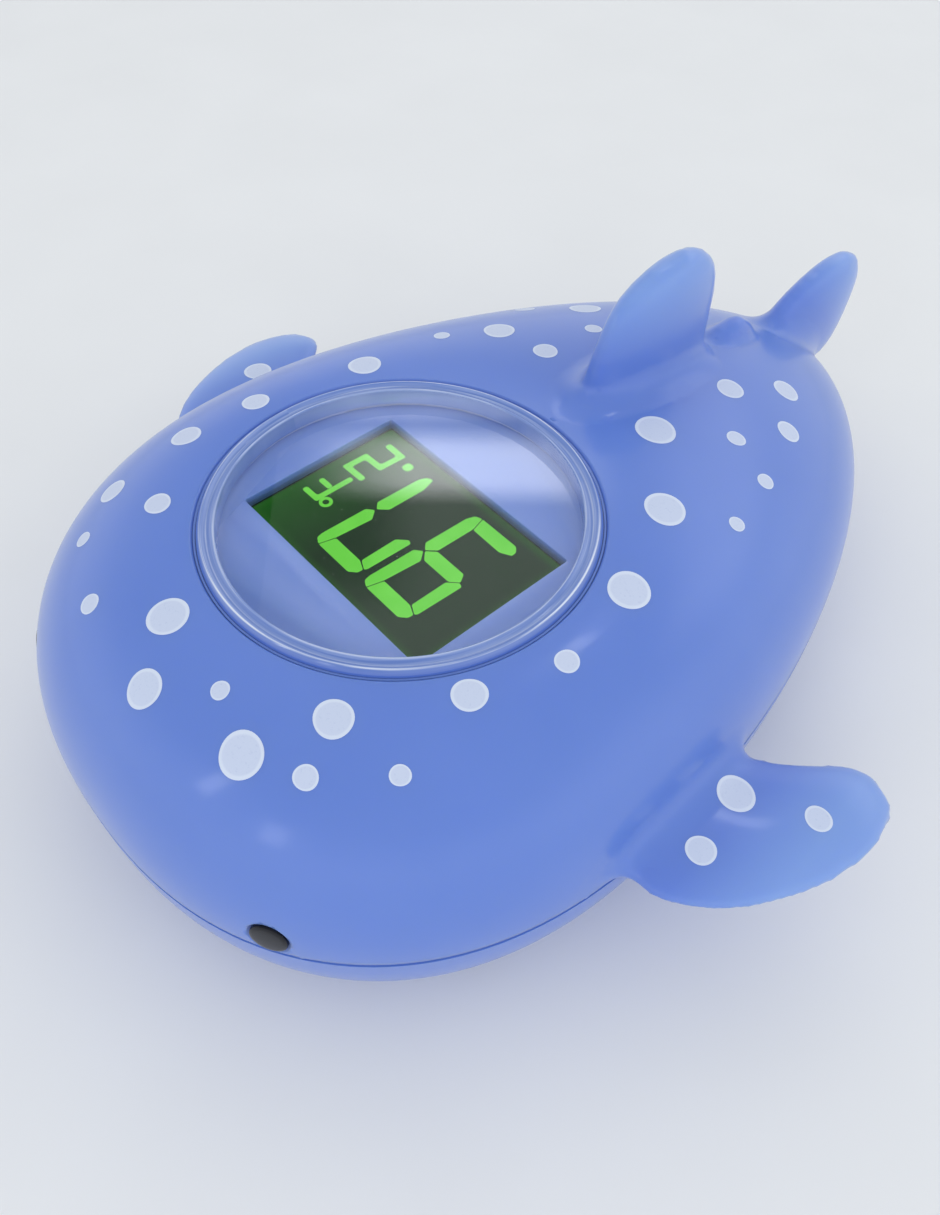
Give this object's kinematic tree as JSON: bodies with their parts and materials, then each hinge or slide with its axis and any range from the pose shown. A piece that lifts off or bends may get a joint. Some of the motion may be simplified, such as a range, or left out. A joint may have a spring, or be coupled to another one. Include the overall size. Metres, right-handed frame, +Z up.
{
  "type": "baby bath thermometer",
  "caption": "Floating bath thermometer for babies, shaped like a whale shark, with a round window over a digital temperature display and a flat belly.",
  "frame": {"origin": "middle of the bounding box, at the bottom, under the flat belly", "axes": "+Z up, +Y towards the tail, +X towards the shark's left side"},
  "size_m": [0.1158, 0.1331, 0.0517],
  "materials": {
    "body_blue": "gloss",
    "clear_lens": "polished",
    "display_glass": "gloss",
    "diffuser": "satin",
    "white_plastic": "matte",
    "grey_rubber": "matte",
    "board_green": "satin",
    "black_resin": "satin",
    "led_body": "gloss",
    "stainless": "satin",
    "contact_brass": "satin",
    "red_insulation": "satin",
    "eye_black": "gloss"
  },
  "bodies": {
    "root": {"upper_shell": "body_blue", "lower_shell": "body_blue", "battery_door": "body_blue", "lens": "clear_lens", "lcd_panel": "display_glass", "light_guide": "diffuser", "display_frame": "white_plastic", "sensor_wire": "white_plastic", "contact_wire_left": "white_plastic", "contact_wire_right": "white_plastic", "shell_seal": "grey_rubber", "lens_gasket": "grey_rubber", "contact_strip_front": "grey_rubber", "contact_strip_rear": "grey_rubber", "door_gasket": "grey_rubber", "sensor_seal": "grey_rubber", "main_board": "board_green", "controller_chip": "black_resin", "thermistor": "black_resin", "battery_wire_black": "black_resin", "backlight_led_left": "led_body", "backlight_led_right": "led_body", "crystal_can": "stainless", "board_screw_1": "stainless", "board_screw_2": "stainless", "board_screw_3": "stainless", "board_screw_4": "stainless", "case_screw_1": "stainless", "case_screw_2": "stainless", "case_screw_3": "stainless", "case_screw_4": "stainless", "door_screw_1": "stainless", "door_screw_2": "stainless", "battery_cell": "stainless", "sensor_cap": "stainless", "water_contact_left": "stainless", "water_contact_right": "stainless", "contact_plus": "contact_brass", "contact_minus": "contact_brass", "battery_wire_red": "red_insulation", "eye_left": "eye_black", "eye_right": "eye_black"}
  },
  "joints": []
}
